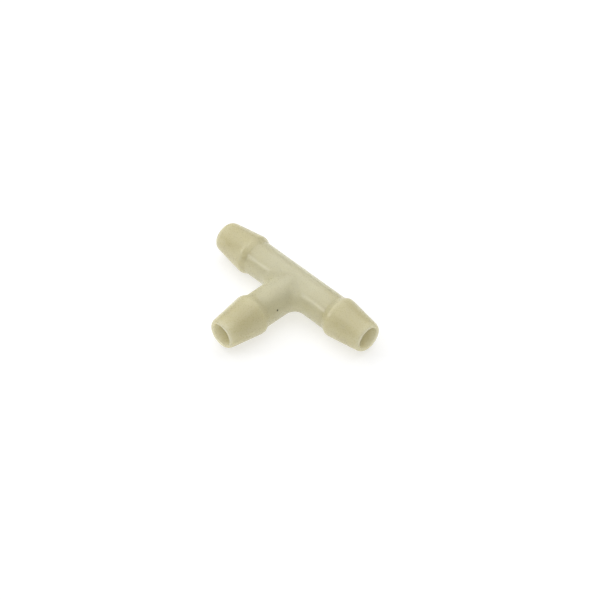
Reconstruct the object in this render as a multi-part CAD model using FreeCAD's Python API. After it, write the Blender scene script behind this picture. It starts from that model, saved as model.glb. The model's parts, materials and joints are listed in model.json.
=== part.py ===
"""Barbed tee connector for irrigation hose: an equal tee with three hose tails, moulded in natural nylon.

The origin is where the run's axis crosses the branch's axis. +X runs along the run to the right lip, -Y runs
out along the branch, and +Z is up when the tee lies flat. Units are millimetres.
The moulding is divided at flat planes into a junction, three stems and three barbs, which meet face to face.
"""

import math
import os

import FreeCAD
import Part

# ---- driving dimensions ----
HOSE_BORE = 8.0          # inside diameter of the hose that seats on the run's stems
WALL = 1.5               # wall of a run stem, from the water passage to the outside
RUN_LENGTH = 44.0        # lip to lip along the run
BRANCH_REACH = 21.5      # run axis to the branch's lip

BARB_RISE = 0.55         # how far a barb's crest stands out from the run's stem
CONE_LENGTH = 8.2        # lip to the crest
LAND_LENGTH = 0.65       # short cylinder at the crest, on which the hose is stretched
SHOULDER_LENGTH = 1.3    # slope from the crest back down to the stem
CREST_ROUND = 0.12       # radius on the two edges of the crest

LIP_WALL = 0.85          # wall at the lip, before its edges are rounded
LIP_ROUND_LENGTH = 1.05  # how far back from the lip its outer edge is rounded
LIP_FLAT = 0.06          # flat ring left at the lip
LIP_LEAD_IN = 0.2        # chamfer into the water passage

BRANCH_RELIEF = 0.02     # how much the branch stem's radius is under the run stem's
CROTCH_RADIUS = 3.2      # fillet where the branch leaves the run
CROTCH_MARGIN = 0.2      # plain stem left in the junction beyond that fillet

# ---- sizes that follow ----
RUN_STEM_RADIUS = HOSE_BORE / 2
BRANCH_STEM_RADIUS = RUN_STEM_RADIUS - BRANCH_RELIEF
BORE_RADIUS = RUN_STEM_RADIUS - WALL
LIP_RADIUS = BORE_RADIUS + LIP_WALL
CREST_RADIUS = RUN_STEM_RADIUS + BARB_RISE
JUNCTION_REACH = RUN_STEM_RADIUS + CROTCH_RADIUS + CROTCH_MARGIN
BARB_LENGTH = CONE_LENGTH + LAND_LENGTH + SHOULDER_LENGTH

X_AXIS = FreeCAD.Vector(1, 0, 0)
Z_AXIS = FreeCAD.Vector(0, 0, 1)
ORIGIN = FreeCAD.Vector(0, 0, 0)

# Each arm: the turn about +Z that carries +X onto it, its reach from the origin and its stem's radius.
ARMS = {
    "right": (0, RUN_LENGTH / 2, RUN_STEM_RADIUS),
    "left": (180, RUN_LENGTH / 2, RUN_STEM_RADIUS),
    "branch": (-90, BRANCH_REACH, BRANCH_STEM_RADIUS),
}


def bar(radius, start, end):
    """A solid cylinder along +X."""
    return Part.makeCylinder(radius, end - start, FreeCAD.Vector(start, 0, 0), X_AXIS)


def turned(shape, angle):
    """A copy turned about +Z, from +X to the arm that it belongs to."""
    copy = shape.copy()
    copy.rotate(ORIGIN, Z_AXIS, angle)
    return copy


def revolved(edges):
    """A solid of revolution about +X from a closed outline in the XY plane."""
    outline = Part.Wire(Part.__sortEdges__(edges))
    return Part.Face(outline).revolve(ORIGIN, X_AXIS, 360)


def stem(reach, stem_radius):
    """The plain length of an arm, where the hose seats behind the barb."""
    shoulder_foot = reach - BARB_LENGTH
    tube = bar(stem_radius, JUNCTION_REACH, shoulder_foot)
    return tube.cut(bar(BORE_RADIUS, JUNCTION_REACH, shoulder_foot))


def barb(reach, stem_radius):
    """One hose barb: shoulder, crest and long cone, with a rounded lip at the mouth."""
    foot = reach - BARB_LENGTH
    crest_back = foot + SHOULDER_LENGTH
    crest_front = crest_back + LAND_LENGTH

    # The cone is drawn to LIP_RADIUS at the lip, and an elliptical quarter takes over where the rounding starts.
    round_start = reach - LIP_ROUND_LENGTH
    taper = (CREST_RADIUS - LIP_RADIUS) / CONE_LENGTH
    cone_end_radius = LIP_RADIUS + taper * LIP_ROUND_LENGTH
    flat_outer = BORE_RADIUS + LIP_LEAD_IN + LIP_FLAT
    round_depth = cone_end_radius - flat_outer

    def point(x, radius):
        return FreeCAD.Vector(x, radius, 0)

    quarter = math.pi / 2
    lip_middle = point(
        round_start + LIP_ROUND_LENGTH * math.sin(quarter / 2),
        flat_outer + round_depth * math.cos(quarter / 2),
    )
    corners = [
        point(reach, flat_outer),
        point(reach, flat_outer - LIP_FLAT),
        point(reach - LIP_LEAD_IN, BORE_RADIUS),
        point(foot, BORE_RADIUS),
        point(foot, stem_radius),
        point(crest_back, CREST_RADIUS),
        point(crest_front, CREST_RADIUS),
        point(round_start, cone_end_radius),
    ]
    edges = [Part.makeLine(a, b) for a, b in zip(corners, corners[1:])]
    edges.append(Part.Arc(corners[-1], lip_middle, corners[0]).toShape())
    blank = revolved(edges)

    crest_edges = [
        edge
        for edge in blank.Edges
        if isinstance(edge.Curve, Part.Circle)
        and abs(edge.Curve.Radius - CREST_RADIUS) < 1e-6
    ]
    return blank.makeFillet(min(CREST_ROUND, LAND_LENGTH / 3), crest_edges)


def junction():
    """The middle of the tee: the branch's stem filleted into the run's, with both passages through it."""
    run = bar(RUN_STEM_RADIUS, -JUNCTION_REACH, JUNCTION_REACH)
    branch_angle = ARMS["branch"][0]
    branch = turned(bar(BRANCH_STEM_RADIUS, 0, JUNCTION_REACH), branch_angle)
    blank = run.fuse(branch).removeSplitter()

    # The edge where the two stems meet is the only one that is neither round nor straight.
    meeting = [
        edge
        for edge in blank.Edges
        if not isinstance(edge.Curve, (Part.Circle, Part.Line))
    ]
    filleted = blank.makeFillet(CROTCH_RADIUS, meeting)

    run_passage = bar(BORE_RADIUS, -JUNCTION_REACH, JUNCTION_REACH)
    branch_passage = turned(bar(BORE_RADIUS, 0, JUNCTION_REACH), branch_angle)
    return filleted.cut(run_passage.fuse(branch_passage))


def build():
    """Every node of the tee, by name."""
    nodes = {"junction": junction()}
    for name, (angle, reach, stem_radius) in ARMS.items():
        nodes[name + "_stem"] = turned(stem(reach, stem_radius), angle)
        nodes[name + "_barb"] = turned(barb(reach, stem_radius), angle)
    return nodes


os.makedirs("parts", exist_ok=True)
for node_name, node_shape in build().items():
    node_shape.exportStep(os.path.join("parts", node_name + ".step"))
    print(
        f"{node_name}: valid {node_shape.isValid()}, solids {len(node_shape.Solids)}, "
        f"volume {node_shape.Volume:.2f} mm3"
    )
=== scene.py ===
import json
import math

import bpy
from mathutils import Matrix, Vector


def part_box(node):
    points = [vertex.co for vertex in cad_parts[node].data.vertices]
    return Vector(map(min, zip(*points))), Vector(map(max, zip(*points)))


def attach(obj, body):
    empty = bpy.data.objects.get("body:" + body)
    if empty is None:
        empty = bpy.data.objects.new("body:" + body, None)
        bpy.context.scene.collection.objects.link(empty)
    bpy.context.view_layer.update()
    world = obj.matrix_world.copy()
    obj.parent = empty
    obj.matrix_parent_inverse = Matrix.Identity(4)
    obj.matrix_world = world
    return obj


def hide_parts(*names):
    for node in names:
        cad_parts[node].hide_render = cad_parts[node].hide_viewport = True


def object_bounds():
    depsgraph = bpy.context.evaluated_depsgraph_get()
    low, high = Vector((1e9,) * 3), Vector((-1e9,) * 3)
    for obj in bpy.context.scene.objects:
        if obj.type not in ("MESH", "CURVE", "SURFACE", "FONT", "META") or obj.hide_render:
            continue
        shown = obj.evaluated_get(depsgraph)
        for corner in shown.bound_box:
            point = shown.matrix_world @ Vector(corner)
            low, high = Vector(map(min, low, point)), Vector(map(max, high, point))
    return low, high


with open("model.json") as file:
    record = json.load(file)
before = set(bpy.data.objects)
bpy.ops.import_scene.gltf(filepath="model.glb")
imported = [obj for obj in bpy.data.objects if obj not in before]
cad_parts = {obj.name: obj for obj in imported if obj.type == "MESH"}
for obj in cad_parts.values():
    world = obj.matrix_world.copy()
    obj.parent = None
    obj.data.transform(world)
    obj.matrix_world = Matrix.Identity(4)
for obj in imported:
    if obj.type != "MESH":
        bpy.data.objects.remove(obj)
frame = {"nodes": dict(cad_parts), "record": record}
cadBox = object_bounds()
mm = 0.001
print("frame:", len(frame["nodes"]), "nodes")


# The radius of one of the frame's mounts, in metres.
def mountRadius(name):
    for mount in frame["record"]["mounts"]:
        if mount["name"] == name:
            return mount["dims"]["r_mm"] * mm
    raise KeyError(name)


class Number:  # one number in a node tree: arithmetic on it adds Math nodes
    def __init__(self, tree, socket):
        self.tree = tree
        self.socket = socket

    def __add__(self, other):
        return self.tree.maths("ADD", self, other)

    def __radd__(self, other):
        return self.tree.maths("ADD", other, self)

    def __sub__(self, other):
        return self.tree.maths("SUBTRACT", self, other)

    def __rsub__(self, other):
        return self.tree.maths("SUBTRACT", other, self)

    def __mul__(self, other):
        return self.tree.maths("MULTIPLY", self, other)

    def __rmul__(self, other):
        return self.tree.maths("MULTIPLY", other, self)

    def __truediv__(self, other):
        return self.tree.maths("DIVIDE", self, other)

    def __neg__(self):
        return self.tree.maths("MULTIPLY", self, -1.0)


class Tree:  # a node tree, and the few ways in which this script adds to it
    def __init__(self, nodeTree):
        self.nodeTree = nodeTree

    def node(self, kind, settings=None, sockets=None):
        made = self.nodeTree.nodes.new(kind)
        for name, value in (settings or {}).items():
            if name == "items":  # an index switch starts with two, and takes no setting for more
                while len(made.index_switch_items) < value:
                    made.index_switch_items.new()
            else:
                setattr(made, name, value)
        for name, value in (sockets or {}).items():
            self.feed(made.inputs[name], value)
        return made

    def feed(self, socket, value):
        if isinstance(value, Number):
            self.nodeTree.links.new(value.socket, socket)
        elif isinstance(value, bpy.types.NodeSocket):
            self.nodeTree.links.new(value, socket)
        elif isinstance(value, list):
            for one in reversed(value):
                self.nodeTree.links.new(one, socket)
        else:
            socket.default_value = value

    def maths(self, operation, *values):
        made = self.node("ShaderNodeMath", {"operation": operation}, dict(enumerate(values)))
        return Number(self, made.outputs[0])

    def sin(self, angle):
        return self.maths("SINE", angle)

    def cos(self, angle):
        return self.maths("COSINE", angle)

    def vector(self, x, y, z):
        return self.node("ShaderNodeCombineXYZ", None, {0: x, 1: y, 2: z}).outputs[0]

    def parts(self, vector):
        made = self.node("ShaderNodeSeparateXYZ", None, {0: vector})
        return [Number(self, socket) for socket in made.outputs]


teeSizes = {  # lengths in millimetres, where the frame doesn't give them
    "coneLength": 8.2,
    "landLength": 0.65,
    "shoulderLength": 1.3,
    "lipWall": 0.85,
    "lipRoundLength": 1.05,
    "lipFlat": 0.06,
    "lipFullness": 0.55,    # how square the outside of a lip is: 0 bevels it
    "lipInnerRound": 0.04,
    "leadIn": 0.2,
    "leadInRound": 0.08,
    "crotchRadius": 3.2,
    "footRound": 0.6,     # where a shoulder meets its stem
    "crestBackRound": 0.14,
    "crestFrontRound": 0.3,
    "partingHeight": 0.03,  # the line that the two halves of the mould leave
    "partingWidth": 0.07,
    "partingFade": 1.6,     # how far from a lip that line starts
    "facetLength": 0.45,    # the longest stretch of a straight wall between two rings
    "weldDistance": 0.0015,
    "rowsPerHalf": 112,     # rings have twice as many points
    "rowEvenness": 0.16,    # how close the rows lie at the parting line: 1 spaces them evenly
    "cornerSteps": 4,
    "lipSteps": 14,
    "filletSteps": 18,
    "straightSteps": 6,
    "smoothAngle": 35,      # degrees: a sharper edge than this stays sharp
}
circleEase = 0.5523         # handles this share of the radius long make a quarter of a circle


# Rows crowd together at the parting line. across runs from -1 to 1, and the angle from -90 to 90 degrees.
def rowAngle(tree, across):
    evenness = teeSizes["rowEvenness"]
    return across * (evenness + across * across * (1.0 - evenness)) * (math.pi / 2)


# A flat grid one metre wide, and how far each of its points is across the columns and the rows, 0 to 1.
def sheetOf(tree, columns, rows):
    grid = tree.node("GeometryNodeMeshGrid", None, {"Vertices X": columns, "Vertices Y": rows})
    x, y = tree.parts(tree.node("GeometryNodeInputPosition").outputs[0])[:2]
    return grid.outputs["Mesh"], x + 0.5, y + 0.5


def placed(tree, geometry, position):
    made = tree.node("GeometryNodeSetPosition", None, {"Geometry": geometry, "Position": position})
    return made.outputs[0]


def flipped(tree, mesh):
    return tree.node("GeometryNodeFlipFaces", None, {"Mesh": mesh}).outputs[0]


def joined(tree, meshes):
    return tree.node("GeometryNodeJoinGeometry", None, {"Geometry": meshes}).outputs[0]


def welded(tree, mesh):
    distance = teeSizes["weldDistance"] * mm
    made = tree.node("GeometryNodeMergeByDistance", None, {"Geometry": mesh, "Distance": distance})
    return made.outputs[0]


def turned(tree, mesh, angle):
    made = tree.node("GeometryNodeTransform", None, {"Geometry": mesh, "Rotation": (0, 0, angle)})
    return made.outputs[0]


# A line through corners (distance along the arm, radius), each rounded, with its long stretches divided.
def cornered(tree, corners, rounds, sizes):
    count = len(corners)
    index = tree.node("GeometryNodeInputIndex").outputs[0]
    places = {0: index}
    radii = {0: index}
    for k, ((along, radius), roundness) in enumerate(zip(corners, rounds), 1):
        places[k] = tree.vector(along, radius, 0.0)
        radii[k] = roundness
    place = tree.node("GeometryNodeIndexSwitch", {"data_type": "VECTOR", "items": count}, places)
    roundness = tree.node("GeometryNodeIndexSwitch", {"data_type": "FLOAT", "items": count}, radii)
    line = tree.node("GeometryNodeMeshLine", None, {"Count": count})
    bent = placed(tree, line.outputs[0], place.outputs[0])
    curve = tree.node("GeometryNodeMeshToCurve", None, {0: bent})
    eased = tree.node(
        "GeometryNodeFilletCurve",
        {"mode": "POLY"},
        {"Curve": curve.outputs[0], "Count": teeSizes["cornerSteps"], "Radius": roundness.outputs[0]},
    )
    here = tree.node("GeometryNodeInputPosition").outputs[0]
    following = tree.node(
        "GeometryNodeFieldAtIndex",
        {"data_type": "FLOAT_VECTOR"},
        {"Index": Number(tree, index) + 1.0, "Value": here},
    )
    gap = tree.node("ShaderNodeVectorMath", {"operation": "DISTANCE"}, {0: here, 1: following.outputs[0]})
    cuts = tree.maths("FLOOR", Number(tree, gap.outputs["Value"]) / sizes["Facet Length"])
    divided = tree.node("GeometryNodeSubdivideCurve", None, {"Curve": eased.outputs[0], "Cuts": cuts})
    return divided.outputs[0]


# Turns a line round the arm's own axis, +X. The first row is at the underside.
def lathe(tree, curve, rowsPerHalf):
    size = tree.node("GeometryNodeAttributeDomainSize", {"component": "CURVE"}, {0: curve})
    count = Number(tree, size.outputs["Point Count"])
    mesh, along, around = sheetOf(tree, count, rowsPerHalf * 2.0 + 1.0)
    column = tree.maths("ROUND", along * (count - 1.0))
    half = tree.maths("FLOOR", around * 2.0)
    angle = half * math.pi + rowAngle(tree, around * 4.0 - half * 2.0 - 1.0)
    here = tree.node("GeometryNodeInputPosition").outputs[0]
    sample = tree.node(
        "GeometryNodeSampleIndex",
        {"data_type": "FLOAT_VECTOR"},
        {"Geometry": curve, "Value": here, "Index": column},
    )
    distance, radius = tree.parts(sample.outputs[0])[:2]
    ring = tree.vector(distance, -radius * tree.cos(angle), radius * tree.sin(angle))
    return placed(tree, mesh, ring)


# One arm from the junction to its lip, along +X: its outside and its passage.
def hoseTail(tree, sizes, reach):
    rows = sizes["Rows Per Half"]
    stem = sizes["Stem Radius"]
    bore = sizes["Bore Radius"]
    crest = sizes["Crest Radius"]
    lip = bore + sizes["Lip Wall"]
    crestFront = reach - sizes["Cone Length"]
    crestBack = crestFront - sizes["Land Length"]
    foot = crestBack - sizes["Shoulder Length"]
    taper = (crest - lip) / sizes["Cone Length"]
    roundStart = reach - sizes["Lip Round Length"]
    coneEnd = lip + taper * sizes["Lip Round Length"]
    flatInner = bore + sizes["Lead In"]
    flatOuter = flatInner + sizes["Lip Flat"]
    wallCorners = [
        (sizes["Junction Reach"], stem),
        (foot, stem),
        (crestBack, crest),
        (crestFront, crest),
        (roundStart, coneEnd),
    ]
    wallRounds = [0.0, sizes["Foot Round"], sizes["Crest Back Round"], sizes["Crest Front Round"], 0.0]
    wall = cornered(tree, wallCorners, wallRounds, sizes)

    ease = circleEase * sizes["Lip Round Length"]
    handleRadius = flatOuter + (coneEnd - flatOuter) * teeSizes["lipFullness"]
    lipArc = tree.node(
        "GeometryNodeCurvePrimitiveBezierSegment",
        {"mode": "POSITION"},
        {
            "Resolution": teeSizes["lipSteps"],
            "Start": tree.vector(roundStart, coneEnd, 0.0),
            "Start Handle": tree.vector(roundStart + ease, coneEnd - ease * taper, 0.0),
            "End Handle": tree.vector(reach, handleRadius, 0.0),
            "End": tree.vector(reach, flatOuter, 0.0),
        },
    )
    lipCurve = tree.node("GeometryNodeResampleCurve", {"mode": "EVALUATED"}, {"Curve": lipArc.outputs[0]})
    outside = joined(tree, [lathe(tree, wall, rows), lathe(tree, lipCurve.outputs[0], rows)])

    passageCorners = [
        (reach, flatOuter),
        (reach, flatInner),
        (reach - sizes["Lead In"], bore),
        (sizes["Junction Reach"], bore),
    ]
    passageRounds = [0.0, teeSizes["lipInnerRound"] * mm, teeSizes["leadInRound"] * mm, 0.0]
    passage = cornered(tree, passageCorners, passageRounds, sizes)
    return outside, lathe(tree, passage, rows)


def straight(tree, start, end, share):
    return start + (end - start) * share


# Half of the junction's wall, x above 0, as patches: the run's front, the branch and the run's back.
# A ball of radius crotch rolls in the corner between two stems of one radius. It touches both of them at
# (radius + crotch) times the cosine of the row's angle. A crotch of 0 leaves the corner sharp.
def junctionWalls(tree, sizes, radius, crotch):
    rows = sizes["Rows Per Half"] + 1.0
    reach = sizes["Junction Reach"]
    steps = teeSizes["straightSteps"] + 1
    mesh, share, across = sheetOf(tree, steps, rows)
    angle = rowAngle(tree, across * 2.0 - 1.0)
    cosine = tree.cos(angle)
    height = radius * tree.sin(angle)
    touch = (radius + crotch) * cosine
    outward = straight(tree, touch, reach, share)
    front = placed(tree, mesh, tree.vector(outward, -radius * cosine, height))
    branch = placed(tree, mesh, tree.vector(radius * cosine, -outward, height))
    back = placed(tree, mesh, tree.vector(reach * share, radius * cosine, height))
    return front, flipped(tree, branch), flipped(tree, back)


# Half of the fillet: the arc that the rolling ball leaves in each row, from the branch to the run.
def rolledCrotch(tree, sizes):
    radius = sizes["Stem Radius"]
    ball = sizes["Crotch Radius"]
    mesh, share, across = sheetOf(tree, teeSizes["filletSteps"] + 1, sizes["Rows Per Half"] + 1.0)
    angle = rowAngle(tree, across * 2.0 - 1.0)
    cosine = tree.cos(angle)
    sine = tree.sin(angle)
    halfSpread = tree.maths("ARCSINE", cosine * math.sqrt(0.5))
    swing = halfSpread * (share * 2.0 - 1.0)
    down = tree.cos(swing) / tree.maths("SQRT", sine * sine * 2.0 + 2.0)
    sideways = tree.sin(swing) * math.sqrt(0.5)
    centre = (radius + ball) * cosine
    x = centre - ball * (down * cosine - sideways)
    y = ball * (down * cosine + sideways) - centre
    z = (radius + ball) * sine - ball * down * sine * 2.0
    return placed(tree, mesh, tree.vector(x, y, z))


# The half with x above 0, and its mirror image.
def bothSides(tree, half):
    mirror = tree.node("GeometryNodeTransform", None, {"Geometry": half, "Scale": (-1, 1, 1)})
    return [half, flipped(tree, mirror.outputs[0])]


# Raises the witness line where the halves of the mould meet, at the height of the three axes.
# It has its full height one fade length back from a lip, and is gone by half of that.
def partingLine(tree, mesh, sizes):
    x, y, z = tree.parts(tree.node("GeometryNodeInputPosition").outputs[0])
    across = z / sizes["Parting Width"]
    crown = tree.maths("EXPONENT", -(across * across))
    pastRun = tree.maths("ABSOLUTE", x) - sizes["Run Half"]
    pastBranch = -y - sizes["Branch Reach"]
    nearLip = tree.maths("MAXIMUM", pastRun, pastBranch) / sizes["Parting Fade"]
    fade = tree.maths("MULTIPLY", -nearLip - 0.5, 2.0)
    fade.socket.node.use_clamp = True
    normal = tree.node("GeometryNodeInputNormal").outputs[0]
    height = crown * fade * sizes["Parting Height"]
    lift = tree.node("ShaderNodeVectorMath", {"operation": "SCALE"}, {0: normal, "Scale": height})
    made = tree.node("GeometryNodeSetPosition", None, {"Geometry": mesh, "Offset": lift.outputs[0]})
    return made.outputs[0]


# Named inputs for the tree, and the identifier that each one's modifier value goes by.
def addInputs(nodeTree, values):
    identifiers = {}
    nodeTree.interface.new_socket("Geometry", in_out="OUTPUT", socket_type="NodeSocketGeometry")
    for name, value in values.items():
        kind = "NodeSocketFloat"
        if isinstance(value, int):
            kind = "NodeSocketInt"
        if isinstance(value, bpy.types.Material):
            kind = "NodeSocketMaterial"
        socket = nodeTree.interface.new_socket(name, in_out="INPUT", socket_type=kind)
        identifiers[name] = socket.identifier
    return identifiers


def mouldingTree(values):
    nodeTree = bpy.data.node_groups.new("barbedTee", "GeometryNodeTree")
    identifiers = addInputs(nodeTree, values)
    tree = Tree(nodeTree)
    inlet = tree.node("NodeGroupInput")
    sizes = {name: Number(tree, inlet.outputs[name]) for name in values}

    runOutside, runPassage = hoseTail(tree, sizes, sizes["Run Half"])
    branchOutside, branchPassage = hoseTail(tree, sizes, sizes["Branch Reach"])
    outerWalls = junctionWalls(tree, sizes, sizes["Stem Radius"], sizes["Crotch Radius"])
    outerHalf = joined(tree, [*outerWalls, rolledCrotch(tree, sizes)])
    innerHalf = joined(tree, list(junctionWalls(tree, sizes, sizes["Bore Radius"], 0.0)))
    outside = [
        runOutside,
        turned(tree, runOutside, math.pi),
        turned(tree, branchOutside, -math.pi / 2),
        *bothSides(tree, outerHalf),
    ]
    shell = partingLine(tree, welded(tree, joined(tree, outside)), sizes)
    passages = [
        runPassage,
        turned(tree, runPassage, math.pi),
        turned(tree, branchPassage, -math.pi / 2),
        *(flipped(tree, half) for half in bothSides(tree, innerHalf)),
    ]
    whole = welded(tree, joined(tree, [shell, *passages]))
    smoothAngle = math.radians(teeSizes["smoothAngle"])
    edgeAngle = Number(tree, tree.node("GeometryNodeInputMeshEdgeAngle").outputs["Unsigned Angle"])
    smooth = tree.node(
        "GeometryNodeSetShadeSmooth",
        {"domain": "EDGE"},
        {"Geometry": whole, "Shade Smooth": tree.maths("LESS_THAN", edgeAngle, smoothAngle)},
    )
    real = tree.node("GeometryNodeRealizeInstances", None, {"Geometry": smooth.outputs[0]})
    finish = tree.node(
        "GeometryNodeSetMaterial",
        None,
        {"Geometry": real.outputs[0], "Material": sizes["Material"]},
    )
    tree.node("NodeGroupOutput", None, {0: finish.outputs[0]})
    return nodeTree, identifiers


def makeMoulding(material):
    values = {
        "Run Half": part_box("right_barb")[1].x,
        "Branch Reach": -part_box("branch_barb")[0].y,
        "Junction Reach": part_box("junction")[1].x,
        "Stem Radius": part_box("right_stem")[1].z,
        "Bore Radius": mountRadius("run_bore"),
        "Crest Radius": mountRadius("right_hose"),
        "Cone Length": teeSizes["coneLength"] * mm,
        "Land Length": teeSizes["landLength"] * mm,
        "Shoulder Length": teeSizes["shoulderLength"] * mm,
        "Lip Wall": teeSizes["lipWall"] * mm,
        "Lip Round Length": teeSizes["lipRoundLength"] * mm,
        "Lip Flat": teeSizes["lipFlat"] * mm,
        "Lead In": teeSizes["leadIn"] * mm,
        "Crotch Radius": teeSizes["crotchRadius"] * mm,
        "Foot Round": teeSizes["footRound"] * mm,
        "Crest Back Round": teeSizes["crestBackRound"] * mm,
        "Crest Front Round": teeSizes["crestFrontRound"] * mm,
        "Parting Height": teeSizes["partingHeight"] * mm,
        "Parting Width": teeSizes["partingWidth"] * mm,
        "Parting Fade": teeSizes["partingFade"] * mm,
        "Facet Length": teeSizes["facetLength"] * mm,
        "Rows Per Half": teeSizes["rowsPerHalf"],
        "Material": material,
    }
    nodeTree, identifiers = mouldingTree(values)
    blank = bpy.data.objects.new("mouldingBlank", bpy.data.meshes.new("mouldingBlank"))
    bpy.context.scene.collection.objects.link(blank)
    modifier = blank.modifiers.new("barbedTee", "NODES")
    modifier.node_group = nodeTree
    for name, value in values.items():
        modifier[identifiers[name]] = value
    depsgraph = bpy.context.evaluated_depsgraph_get()
    mesh = bpy.data.meshes.new_from_object(blank.evaluated_get(depsgraph), depsgraph=depsgraph)
    bpy.data.objects.remove(blank)
    while mesh.materials[0] is None:
        mesh.materials.pop(index=0)
    mesh.name = "tee_moulding"
    moulding = bpy.data.objects.new("tee_moulding", mesh)
    bpy.context.scene.collection.objects.link(moulding)
    print("moulding:", len(mesh.vertices), "points,", len(mesh.polygons), "faces")
    return moulding


nylonSizes = {  # lengths in millimetres
    # painted light and shade: the nylon's colour is lighter round the junction and darker towards the
    # lips
    "litHubColour": (0.61, 0.572, 0.375, 1.0),
    "shadedLipColour": (0.53, 0.478, 0.275, 1.0),
    "speck": (0.03, 0.025, 0.015, 1.0),
    "litHubReach": 7.0,       # painted light: lighter out to here from the middle of the junction, to lift the shade in its crotches
    "shadedLipReach": 20.0,     # painted shade: darker and yellower towards the lips, in full from here out
    "cloudSize": 5.0,       # soft patches of both
    "cloudShare": 0.6,
    "grainSize": 0.25,      # the texture of the mould's steel
    "grainDepth": 0.003,
    "waveSize": 2.2,        # shallow shrinkage under the skin
    "waveDepth": 0.02,
    "roughness": 0.28,
    "roughnessSpread": 0.08,
    "speckRadius": 0.2,     # one dark speck of burnt nylon, moulded into the branch's stem
    "speckPlace": (3.78, -8.84, 1.31),
    "speckFade": 1.5,       # the speck is gone at this many of its radii, and full one radius further in
    "ior": 1.53,
    "scatter": (1.0, 1.0, 1.0),
    "scatterLength": 6.0,   # long, so that the insides of the mouths stay light
}


def noise(tree, place, size, detail):
    sockets = {"Vector": place, "Scale": 1 / (size * mm), "Detail": detail}
    return Number(tree, tree.node("ShaderNodeTexNoise", None, sockets).outputs["Fac"])


def mixed(tree, share, first, second):
    made = tree.node("ShaderNodeMix", {"data_type": "RGBA"}, {0: share, 6: first, 7: second})
    return made.outputs[2]


def bumped(tree, height, depth, below):
    sockets = {"Strength": 1.0, "Distance": depth * mm, "Height": height}
    if below:
        sockets["Normal"] = below
    return tree.node("ShaderNodeBump", None, sockets).outputs[0]


def naturalNylon():
    material = bpy.data.materials.new("naturalNylon")
    material.use_nodes = True
    tree = Tree(material.node_tree)
    shader = material.node_tree.nodes["Principled BSDF"]
    place = tree.node("ShaderNodeTexCoord").outputs["Object"]

    # painted light and shade: lighter round the junction, darker towards the lips, broken up by soft
    # random patches
    middle = tree.node("ShaderNodeVectorMath", {"operation": "LENGTH"}, {0: place})
    fromMiddle = Number(tree, middle.outputs["Value"]) / mm - nylonSizes["litHubReach"]
    lipShade = fromMiddle / (nylonSizes["shadedLipReach"] - nylonSizes["litHubReach"])
    cloud = noise(tree, place, nylonSizes["cloudSize"], 2.0) - 0.5
    share = cloud * nylonSizes["cloudShare"] + lipShade
    share.socket.node.use_clamp = True
    body = mixed(tree, share, nylonSizes["litHubColour"], nylonSizes["shadedLipColour"])
    speckPlace = Vector(nylonSizes["speckPlace"]) * mm
    away = tree.node("ShaderNodeVectorMath", {"operation": "DISTANCE"}, {0: place, 1: speckPlace})
    radii = Number(tree, away.outputs["Value"]) / (nylonSizes["speckRadius"] * mm)
    speck = nylonSizes["speckFade"] - radii
    speck.socket.node.use_clamp = True
    tree.feed(shader.inputs["Base Color"], mixed(tree, speck, body, nylonSizes["speck"]))

    grain = noise(tree, place, nylonSizes["grainSize"], 2.0)
    spread = nylonSizes["roughnessSpread"]
    tree.feed(shader.inputs["Roughness"], grain * spread + (nylonSizes["roughness"] - spread / 2))
    wave = noise(tree, place, nylonSizes["waveSize"], 1.0)
    waved = bumped(tree, wave, nylonSizes["waveDepth"], None)
    tree.feed(shader.inputs["Normal"], bumped(tree, grain, nylonSizes["grainDepth"], waved))

    shader.inputs["IOR"].default_value = nylonSizes["ior"]
    shader.inputs["Subsurface Weight"].default_value = 1.0
    shader.inputs["Subsurface Radius"].default_value = nylonSizes["scatter"]
    shader.inputs["Subsurface Scale"].default_value = nylonSizes["scatterLength"] * mm
    print("nylon:", len(material.node_tree.nodes), "nodes")
    return material


studio = {  # the floor and the lights in metres and watts, and the camera in millimetres and degrees
    "white": (1.0, 1.0, 1.0, 1.0),
    "floorSide": 3.0,
    "floorColour": (0.5, 0.5, 0.5, 1.0),
    "floorRoughness": 0.9,
    "floorGlow": 0.57,       # the sheet is lit from below too, which takes the shadows away
    "skyStrength": 0.5,
    "topPower": 4.2,
    "topSize": 1.1,
    "topPlace": (-0.16, 0.03, 0.69),
    "sidePower": 0.24,
    "sideSize": 0.09,
    "sideDistance": 0.5,
    "sideDirection": (-0.517, -0.712, 0.475),
    "azimuth": 46.3,
    "elevation": 43.95,
    "roll": 0.11,
    "distance": 398.0,
    "lens": 111.8,
    "sensor": 36.0,
    "clipStart": 10.0,
    "aimRight": 0.96,
    "aimUp": -3.09,
}


def litPaper():
    material = bpy.data.materials.new("litPaper")
    material.use_nodes = True
    shader = material.node_tree.nodes["Principled BSDF"]
    shader.inputs["Base Color"].default_value = studio["floorColour"]
    shader.inputs["Roughness"].default_value = studio["floorRoughness"]
    shader.inputs["Emission Color"].default_value = studio["white"]
    shader.inputs["Emission Strength"].default_value = studio["floorGlow"]
    return material


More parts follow.
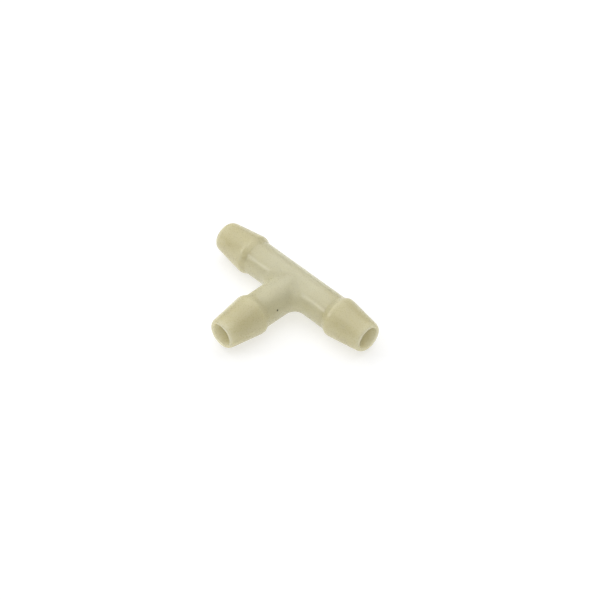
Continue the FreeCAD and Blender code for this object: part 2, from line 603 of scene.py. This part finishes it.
def makeFloor():
    side = studio["floorSide"] / 2
    low = cadBox[0].z
    mesh = bpy.data.meshes.new("floor")
    corners = [(-side, -side, low), (side, -side, low), (side, side, low), (-side, side, low)]
    mesh.from_pydata(corners, [], [(0, 1, 2, 3)])
    mesh.materials.append(litPaper())
    floor = bpy.data.objects.new("floor", mesh)
    bpy.context.scene.collection.objects.link(floor)
    print("floor:", studio["floorSide"], "m wide")


def areaLight(name, power, size, place):
    data = bpy.data.lights.new(name, "AREA")
    data.energy = power
    data.size = size
    light = bpy.data.objects.new(name, data)
    bpy.context.scene.collection.objects.link(light)
    light.location = place
    light.rotation_mode = "QUATERNION"
    light.rotation_quaternion = Vector(place).to_track_quat("Z", "Y")


def makeLight():
    scene = bpy.context.scene
    scene.world = bpy.data.worlds.new("studio")
    scene.world.use_nodes = True
    sky = scene.world.node_tree.nodes["Background"]
    sky.inputs["Color"].default_value = studio["white"]
    sky.inputs["Strength"].default_value = studio["skyStrength"]
    areaLight("topLight", studio["topPower"], studio["topSize"], studio["topPlace"])
    side = Vector(studio["sideDirection"]).normalized() * studio["sideDistance"]
    areaLight("sideLight", studio["sidePower"], studio["sideSize"], side)
    scene.view_settings.view_transform = "Standard"
    print("light: a sky and two lamps")


def makeCamera():
    azimuth = math.radians(studio["azimuth"])
    elevation = math.radians(studio["elevation"])
    back = Vector((
        math.sin(azimuth) * math.cos(elevation),
        -math.cos(azimuth) * math.cos(elevation),
        math.sin(elevation),
    ))
    right = Vector((math.cos(azimuth), math.sin(azimuth), 0.0))
    up = back.cross(right)
    data = bpy.data.cameras.new("camera")
    data.lens = studio["lens"]
    data.sensor_width = studio["sensor"]
    data.clip_start = studio["clipStart"] * mm
    camera = bpy.data.objects.new("camera", data)
    bpy.context.scene.collection.objects.link(camera)
    camera.location = back * studio["distance"] * mm
    aim = (right * studio["aimRight"] + up * studio["aimUp"]) * mm
    look = (aim - camera.location).to_track_quat("-Z", "Y").to_matrix()
    roll = Matrix.Rotation(math.radians(studio["roll"]), 3, "Z")
    camera.rotation_mode = "QUATERNION"
    camera.rotation_quaternion = (look @ roll).to_quaternion()
    bpy.context.scene.camera = camera
    print("camera: set", studio["distance"], "mm away")


makeFloor()
makeLight()
makeCamera()

moulding = makeMoulding(naturalNylon())
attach(moulding, "root")
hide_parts(*sorted(frame["nodes"]))
print("tee: placed, in the place of every node")
